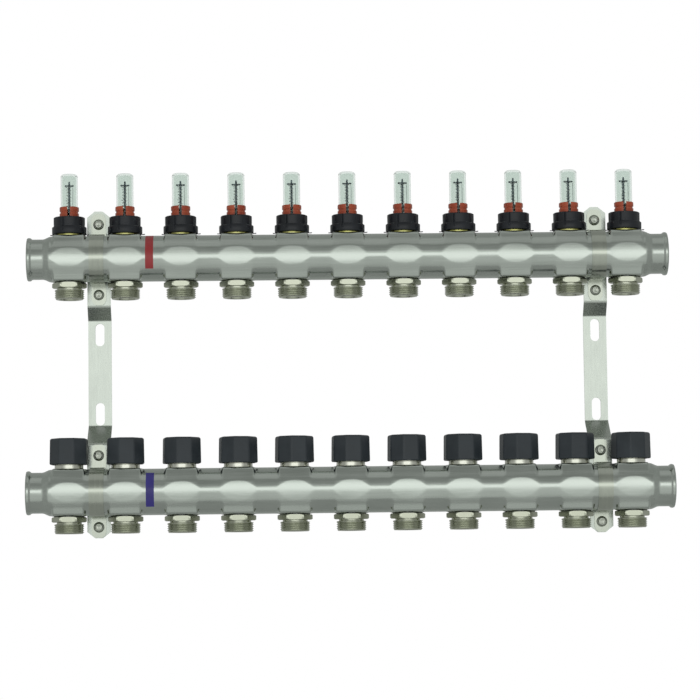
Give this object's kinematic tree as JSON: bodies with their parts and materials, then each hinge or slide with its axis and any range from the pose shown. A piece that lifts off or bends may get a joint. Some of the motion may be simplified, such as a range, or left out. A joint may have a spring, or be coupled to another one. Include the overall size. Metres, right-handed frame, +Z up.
{
  "type": "underfloor heating manifold",
  "caption": "Wall-mounted underfloor heating manifold: two stainless bars on zinc brackets, flow meters above, hand-capped valves below, threaded outlets.",
  "frame": {"origin": "centre of the left bracket's pair of wall slots, on the wall plane", "axes": "+X along the bars to the viewer's right, +Z up, +Y into the wall"},
  "size_m": [0.575, 0.0688, 0.3268],
  "materials": {
    "stainless": "satin, brushed along the bar",
    "zinc": "bright zinc plated sheet",
    "zinc_strap": "yellowish zinc plated strip",
    "screw_steel": "zinc plated, slightly worn",
    "nickel": "nickel plated brass, satin",
    "nickel_bright": "nickel plated brass, bright",
    "brass": "turned brass",
    "seal_rubber": "flat fibre and rubber ring",
    "sight_glass": "clear moulded tube",
    "red_plastic": "moulded, half gloss",
    "black_plastic": "moulded, half gloss",
    "cap_plastic": "moulded, fine grain",
    "spindle_steel": "drawn stainless rod with a black sealing disc",
    "indicator_plastic": "moulded, dark",
    "spring_steel": "drawn stainless wire",
    "label_red": "printed film",
    "label_blue": "printed film"
  },
  "bodies": {
    "manifold": {"supply_bar": "stainless", "return_bar": "stainless", "bracket_left": "zinc", "bracket_right": "zinc", "clamp_straps": "zinc_strap", "clamp_screws": "screw_steel", "outlet_nipples": "nickel", "nipple_seals": "seal_rubber", "meter_inserts": "brass", "sight_glasses": "sight_glass", "lock_rings": "red_plastic", "valve_inserts": "nickel_bright", "valve_springs": "spring_steel", "meter_springs": "spring_steel", "supply_label": "label_red", "return_label": "label_blue"},
    "spindle_01": {"valve_spindle_01": "spindle_steel"},
    "cap_01": {"hand_cap_01": "cap_plastic"},
    "collar_01": {"meter_collar_01": "black_plastic"},
    "indicator_01": {"flow_indicator_01": "indicator_plastic"},
    "spindle_02": {"valve_spindle_02": "spindle_steel"},
    "cap_02": {"hand_cap_02": "cap_plastic"},
    "collar_02": {"meter_collar_02": "black_plastic"},
    "indicator_02": {"flow_indicator_02": "indicator_plastic"},
    "spindle_03": {"valve_spindle_03": "spindle_steel"},
    "cap_03": {"hand_cap_03": "cap_plastic"},
    "collar_03": {"meter_collar_03": "black_plastic"},
    "indicator_03": {"flow_indicator_03": "indicator_plastic"},
    "spindle_04": {"valve_spindle_04": "spindle_steel"},
    "cap_04": {"hand_cap_04": "cap_plastic"},
    "collar_04": {"meter_collar_04": "black_plastic"},
    "indicator_04": {"flow_indicator_04": "indicator_plastic"},
    "spindle_05": {"valve_spindle_05": "spindle_steel"},
    "cap_05": {"hand_cap_05": "cap_plastic"},
    "collar_05": {"meter_collar_05": "black_plastic"},
    "indicator_05": {"flow_indicator_05": "indicator_plastic"},
    "spindle_06": {"valve_spindle_06": "spindle_steel"},
    "cap_06": {"hand_cap_06": "cap_plastic"},
    "collar_06": {"meter_collar_06": "black_plastic"},
    "indicator_06": {"flow_indicator_06": "indicator_plastic"},
    "spindle_07": {"valve_spindle_07": "spindle_steel"},
    "cap_07": {"hand_cap_07": "cap_plastic"},
    "collar_07": {"meter_collar_07": "black_plastic"},
    "indicator_07": {"flow_indicator_07": "indicator_plastic"},
    "spindle_08": {"valve_spindle_08": "spindle_steel"},
    "cap_08": {"hand_cap_08": "cap_plastic"},
    "collar_08": {"meter_collar_08": "black_plastic"},
    "indicator_08": {"flow_indicator_08": "indicator_plastic"},
    "spindle_09": {"valve_spindle_09": "spindle_steel"},
    "cap_09": {"hand_cap_09": "cap_plastic"},
    "collar_09": {"meter_collar_09": "black_plastic"},
    "indicator_09": {"flow_indicator_09": "indicator_plastic"},
    "spindle_10": {"valve_spindle_10": "spindle_steel"},
    "cap_10": {"hand_cap_10": "cap_plastic"},
    "collar_10": {"meter_collar_10": "black_plastic"},
    "indicator_10": {"flow_indicator_10": "indicator_plastic"},
    "spindle_11": {"valve_spindle_11": "spindle_steel"},
    "cap_11": {"hand_cap_11": "cap_plastic"},
    "collar_11": {"meter_collar_11": "black_plastic"},
    "indicator_11": {"flow_indicator_11": "indicator_plastic"}
  },
  "joints": [
    {"name": "valve_travel_01", "type": "slide", "parent": "manifold", "child": "spindle_01", "axis": [0, 0, -1], "range_m": [0, 0.0035], "deforming": ["valve_springs"]},
    {"name": "cap_turn_01", "type": "hinge", "parent": "spindle_01", "child": "cap_01", "pos_m": [-0.025, -0.0467, -0.1085], "axis": [0, 0, 1], "range_deg": [-840, 0]},
    {"name": "collar_turn_01", "type": "hinge", "parent": "manifold", "child": "collar_01", "pos_m": [-0.025, -0.0327, 0.1015], "axis": [0, 0, 1], "range_deg": [-810, 0]},
    {"name": "flow_reading_01", "type": "slide", "parent": "manifold", "child": "indicator_01", "axis": [0, 0, -1], "range_m": [0, 0.022], "stiffness_N_per_m": 25, "springref_m": -0.012, "deforming": ["meter_springs"]},
    {"name": "valve_travel_02", "type": "slide", "parent": "manifold", "child": "spindle_02", "axis": [0, 0, -1], "range_m": [0, 0.0035], "deforming": ["valve_springs"]},
    {"name": "cap_turn_02", "type": "hinge", "parent": "spindle_02", "child": "cap_02", "pos_m": [0.025, -0.0467, -0.1085], "axis": [0, 0, 1], "range_deg": [-840, 0]},
    {"name": "collar_turn_02", "type": "hinge", "parent": "manifold", "child": "collar_02", "pos_m": [0.025, -0.0327, 0.1015], "axis": [0, 0, 1], "range_deg": [-810, 0]},
    {"name": "flow_reading_02", "type": "slide", "parent": "manifold", "child": "indicator_02", "axis": [0, 0, -1], "range_m": [0, 0.022], "stiffness_N_per_m": 25, "springref_m": -0.012, "deforming": ["meter_springs"]},
    {"name": "valve_travel_03", "type": "slide", "parent": "manifold", "child": "spindle_03", "axis": [0, 0, -1], "range_m": [0, 0.0035], "deforming": ["valve_springs"]},
    {"name": "cap_turn_03", "type": "hinge", "parent": "spindle_03", "child": "cap_03", "pos_m": [0.075, -0.0467, -0.1085], "axis": [0, 0, 1], "range_deg": [-840, 0]},
    {"name": "collar_turn_03", "type": "hinge", "parent": "manifold", "child": "collar_03", "pos_m": [0.075, -0.0327, 0.1015], "axis": [0, 0, 1], "range_deg": [-810, 0]},
    {"name": "flow_reading_03", "type": "slide", "parent": "manifold", "child": "indicator_03", "axis": [0, 0, -1], "range_m": [0, 0.022], "stiffness_N_per_m": 25, "springref_m": -0.012, "deforming": ["meter_springs"]},
    {"name": "valve_travel_04", "type": "slide", "parent": "manifold", "child": "spindle_04", "axis": [0, 0, -1], "range_m": [0, 0.0035], "deforming": ["valve_springs"]},
    {"name": "cap_turn_04", "type": "hinge", "parent": "spindle_04", "child": "cap_04", "pos_m": [0.125, -0.0467, -0.1085], "axis": [0, 0, 1], "range_deg": [-840, 0]},
    {"name": "collar_turn_04", "type": "hinge", "parent": "manifold", "child": "collar_04", "pos_m": [0.125, -0.0327, 0.1015], "axis": [0, 0, 1], "range_deg": [-810, 0]},
    {"name": "flow_reading_04", "type": "slide", "parent": "manifold", "child": "indicator_04", "axis": [0, 0, -1], "range_m": [0, 0.022], "stiffness_N_per_m": 25, "springref_m": -0.012, "deforming": ["meter_springs"]},
    {"name": "valve_travel_05", "type": "slide", "parent": "manifold", "child": "spindle_05", "axis": [0, 0, -1], "range_m": [0, 0.0035], "deforming": ["valve_springs"]},
    {"name": "cap_turn_05", "type": "hinge", "parent": "spindle_05", "child": "cap_05", "pos_m": [0.175, -0.0467, -0.1085], "axis": [0, 0, 1], "range_deg": [-840, 0]},
    {"name": "collar_turn_05", "type": "hinge", "parent": "manifold", "child": "collar_05", "pos_m": [0.175, -0.0327, 0.1015], "axis": [0, 0, 1], "range_deg": [-810, 0]},
    {"name": "flow_reading_05", "type": "slide", "parent": "manifold", "child": "indicator_05", "axis": [0, 0, -1], "range_m": [0, 0.022], "stiffness_N_per_m": 25, "springref_m": -0.012, "deforming": ["meter_springs"]},
    {"name": "valve_travel_06", "type": "slide", "parent": "manifold", "child": "spindle_06", "axis": [0, 0, -1], "range_m": [0, 0.0035], "deforming": ["valve_springs"]},
    {"name": "cap_turn_06", "type": "hinge", "parent": "spindle_06", "child": "cap_06", "pos_m": [0.225, -0.0467, -0.1085], "axis": [0, 0, 1], "range_deg": [-840, 0]},
    {"name": "collar_turn_06", "type": "hinge", "parent": "manifold", "child": "collar_06", "pos_m": [0.225, -0.0327, 0.1015], "axis": [0, 0, 1], "range_deg": [-810, 0]},
    {"name": "flow_reading_06", "type": "slide", "parent": "manifold", "child": "indicator_06", "axis": [0, 0, -1], "range_m": [0, 0.022], "stiffness_N_per_m": 25, "springref_m": -0.012, "deforming": ["meter_springs"]},
    {"name": "valve_travel_07", "type": "slide", "parent": "manifold", "child": "spindle_07", "axis": [0, 0, -1], "range_m": [0, 0.0035], "deforming": ["valve_springs"]},
    {"name": "cap_turn_07", "type": "hinge", "parent": "spindle_07", "child": "cap_07", "pos_m": [0.275, -0.0467, -0.1085], "axis": [0, 0, 1], "range_deg": [-840, 0]},
    {"name": "collar_turn_07", "type": "hinge", "parent": "manifold", "child": "collar_07", "pos_m": [0.275, -0.0327, 0.1015], "axis": [0, 0, 1], "range_deg": [-810, 0]},
    {"name": "flow_reading_07", "type": "slide", "parent": "manifold", "child": "indicator_07", "axis": [0, 0, -1], "range_m": [0, 0.022], "stiffness_N_per_m": 25, "springref_m": -0.012, "deforming": ["meter_springs"]},
    {"name": "valve_travel_08", "type": "slide", "parent": "manifold", "child": "spindle_08", "axis": [0, 0, -1], "range_m": [0, 0.0035], "deforming": ["valve_springs"]},
    {"name": "cap_turn_08", "type": "hinge", "parent": "spindle_08", "child": "cap_08", "pos_m": [0.325, -0.0467, -0.1085], "axis": [0, 0, 1], "range_deg": [-840, 0]},
    {"name": "collar_turn_08", "type": "hinge", "parent": "manifold", "child": "collar_08", "pos_m": [0.325, -0.0327, 0.1015], "axis": [0, 0, 1], "range_deg": [-810, 0]},
    {"name": "flow_reading_08", "type": "slide", "parent": "manifold", "child": "indicator_08", "axis": [0, 0, -1], "range_m": [0, 0.022], "stiffness_N_per_m": 25, "springref_m": -0.012, "deforming": ["meter_springs"]},
    {"name": "valve_travel_09", "type": "slide", "parent": "manifold", "child": "spindle_09", "axis": [0, 0, -1], "range_m": [0, 0.0035], "deforming": ["valve_springs"]},
    {"name": "cap_turn_09", "type": "hinge", "parent": "spindle_09", "child": "cap_09", "pos_m": [0.375, -0.0467, -0.1085], "axis": [0, 0, 1], "range_deg": [-840, 0]},
    {"name": "collar_turn_09", "type": "hinge", "parent": "manifold", "child": "collar_09", "pos_m": [0.375, -0.0327, 0.1015], "axis": [0, 0, 1], "range_deg": [-810, 0]},
    {"name": "flow_reading_09", "type": "slide", "parent": "manifold", "child": "indicator_09", "axis": [0, 0, -1], "range_m": [0, 0.022], "stiffness_N_per_m": 25, "springref_m": -0.012, "deforming": ["meter_springs"]},
    {"name": "valve_travel_10", "type": "slide", "parent": "manifold", "child": "spindle_10", "axis": [0, 0, -1], "range_m": [0, 0.0035], "deforming": ["valve_springs"]},
    {"name": "cap_turn_10", "type": "hinge", "parent": "spindle_10", "child": "cap_10", "pos_m": [0.425, -0.0467, -0.1085], "axis": [0, 0, 1], "range_deg": [-840, 0]},
    {"name": "collar_turn_10", "type": "hinge", "parent": "manifold", "child": "collar_10", "pos_m": [0.425, -0.0327, 0.1015], "axis": [0, 0, 1], "range_deg": [-810, 0]},
    {"name": "flow_reading_10", "type": "slide", "parent": "manifold", "child": "indicator_10", "axis": [0, 0, -1], "range_m": [0, 0.022], "stiffness_N_per_m": 25, "springref_m": -0.012, "deforming": ["meter_springs"]},
    {"name": "valve_travel_11", "type": "slide", "parent": "manifold", "child": "spindle_11", "axis": [0, 0, -1], "range_m": [0, 0.0035], "deforming": ["valve_springs"]},
    {"name": "cap_turn_11", "type": "hinge", "parent": "spindle_11", "child": "cap_11", "pos_m": [0.475, -0.0467, -0.1085], "axis": [0, 0, 1], "range_deg": [-840, 0]},
    {"name": "collar_turn_11", "type": "hinge", "parent": "manifold", "child": "collar_11", "pos_m": [0.475, -0.0327, 0.1015], "axis": [0, 0, 1], "range_deg": [-810, 0]},
    {"name": "flow_reading_11", "type": "slide", "parent": "manifold", "child": "indicator_11", "axis": [0, 0, -1], "range_m": [0, 0.022], "stiffness_N_per_m": 25, "springref_m": -0.012, "deforming": ["meter_springs"]}
  ],
  "couplings": [
    {"joint": "cap_turn_01", "follows": "valve_travel_01", "rad_per_m": -4188.8},
    {"joint": "cap_turn_02", "follows": "valve_travel_02", "rad_per_m": -4188.8},
    {"joint": "cap_turn_03", "follows": "valve_travel_03", "rad_per_m": -4188.8},
    {"joint": "cap_turn_04", "follows": "valve_travel_04", "rad_per_m": -4188.8},
    {"joint": "cap_turn_05", "follows": "valve_travel_05", "rad_per_m": -4188.8},
    {"joint": "cap_turn_06", "follows": "valve_travel_06", "rad_per_m": -4188.8},
    {"joint": "cap_turn_07", "follows": "valve_travel_07", "rad_per_m": -4188.8},
    {"joint": "cap_turn_08", "follows": "valve_travel_08", "rad_per_m": -4188.8},
    {"joint": "cap_turn_09", "follows": "valve_travel_09", "rad_per_m": -4188.8},
    {"joint": "cap_turn_10", "follows": "valve_travel_10", "rad_per_m": -4188.8},
    {"joint": "cap_turn_11", "follows": "valve_travel_11", "rad_per_m": -4188.8}
  ]
}
